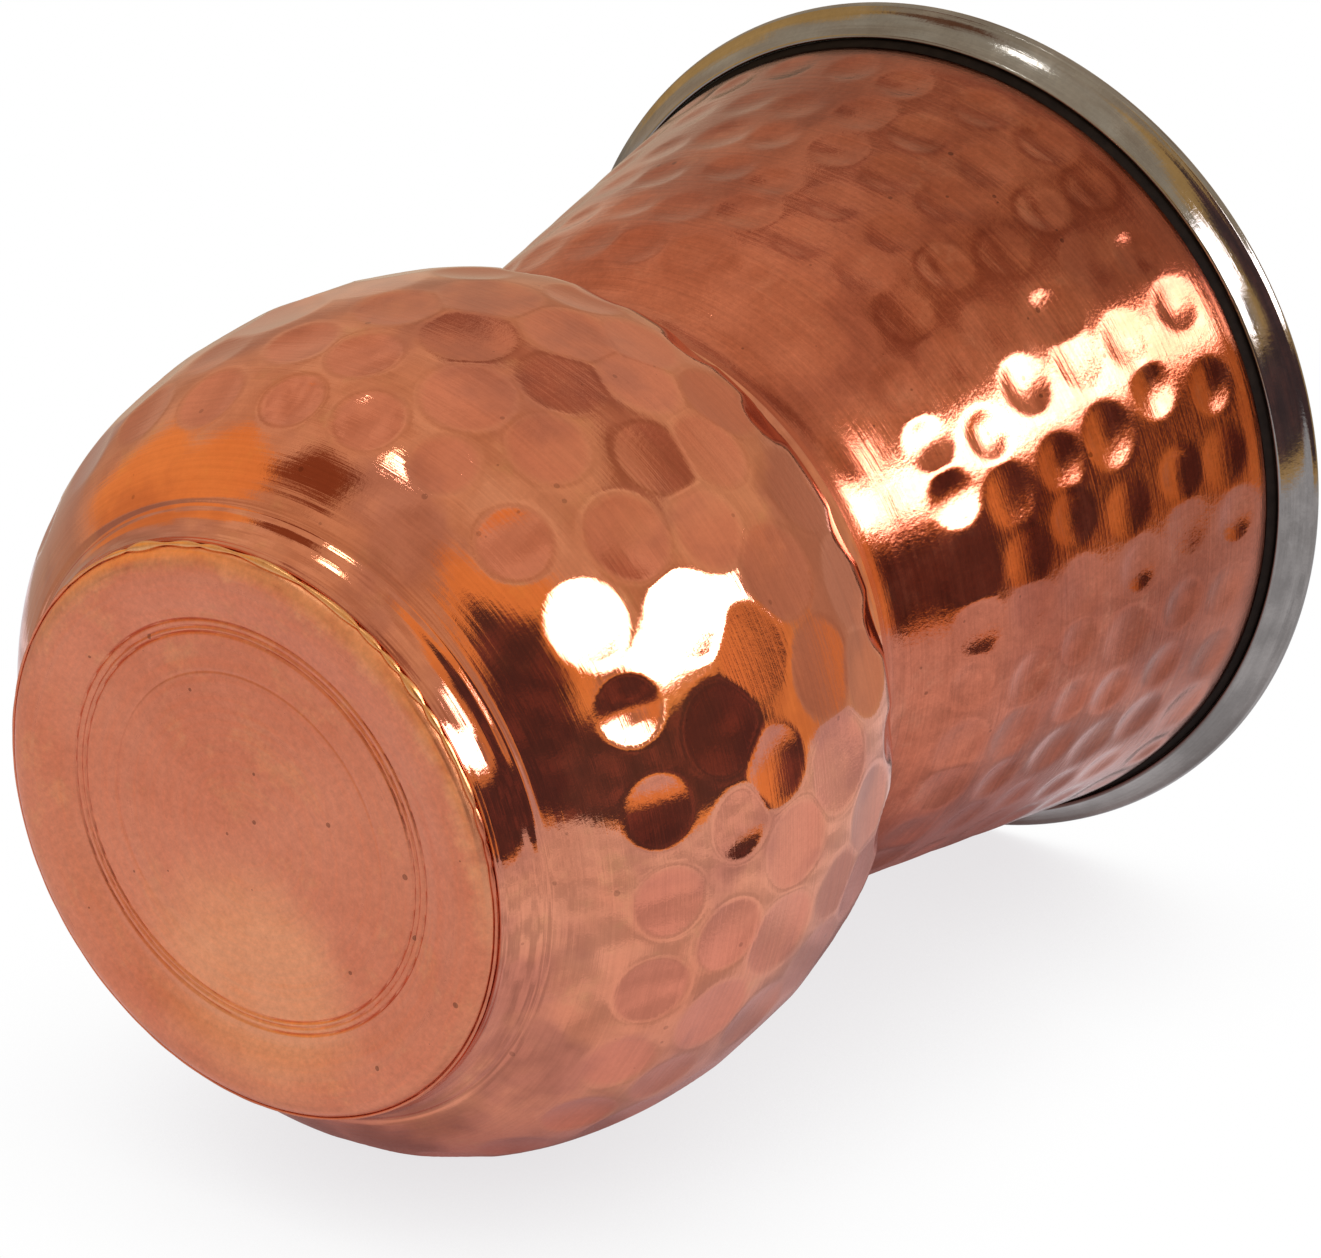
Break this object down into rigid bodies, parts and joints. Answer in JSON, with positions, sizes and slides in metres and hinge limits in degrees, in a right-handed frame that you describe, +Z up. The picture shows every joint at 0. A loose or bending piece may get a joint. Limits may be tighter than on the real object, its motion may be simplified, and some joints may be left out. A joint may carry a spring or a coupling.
{
  "type": "water tumbler",
  "caption": "Double-walled water tumbler: hammered copper outside, steel liner inside, with a round bulb, a narrow waist and a flared cup with a rolled steel rim.",
  "frame": {"origin": "centre of the underside of the base disc, which is the face the tumbler stands on", "axes": "+Z up along the axis of rotation, from the base to the mouth; the shape is turned about Z, so X and Y are interchangeable"},
  "size_m": [0.0814, 0.0814, 0.102],
  "materials": {
    "bulb_copper": "hammered, polished and lacquered copper",
    "sleeve_copper": "hammered and polished copper with fine spun lines",
    "base_copper": "matte turned copper with scored rings",
    "braze": "polished braze, blended into the copper",
    "solder": "rough golden solder bead",
    "liner_steel": "spun stainless steel",
    "rim_steel": "polished stainless steel",
    "weld_steel": "ground weld",
    "sealant": "dark bonding bead"
  },
  "bodies": {
    "root": {"copper_bulb": "bulb_copper", "copper_sleeve": "sleeve_copper", "copper_base_disc": "base_copper", "waist_braze_seam": "braze", "base_solder_seam": "solder", "liner_bulb": "liner_steel", "liner_funnel": "rim_steel", "liner_weld_bead": "weld_steel", "rim_sealant": "sealant"}
  },
  "joints": []
}
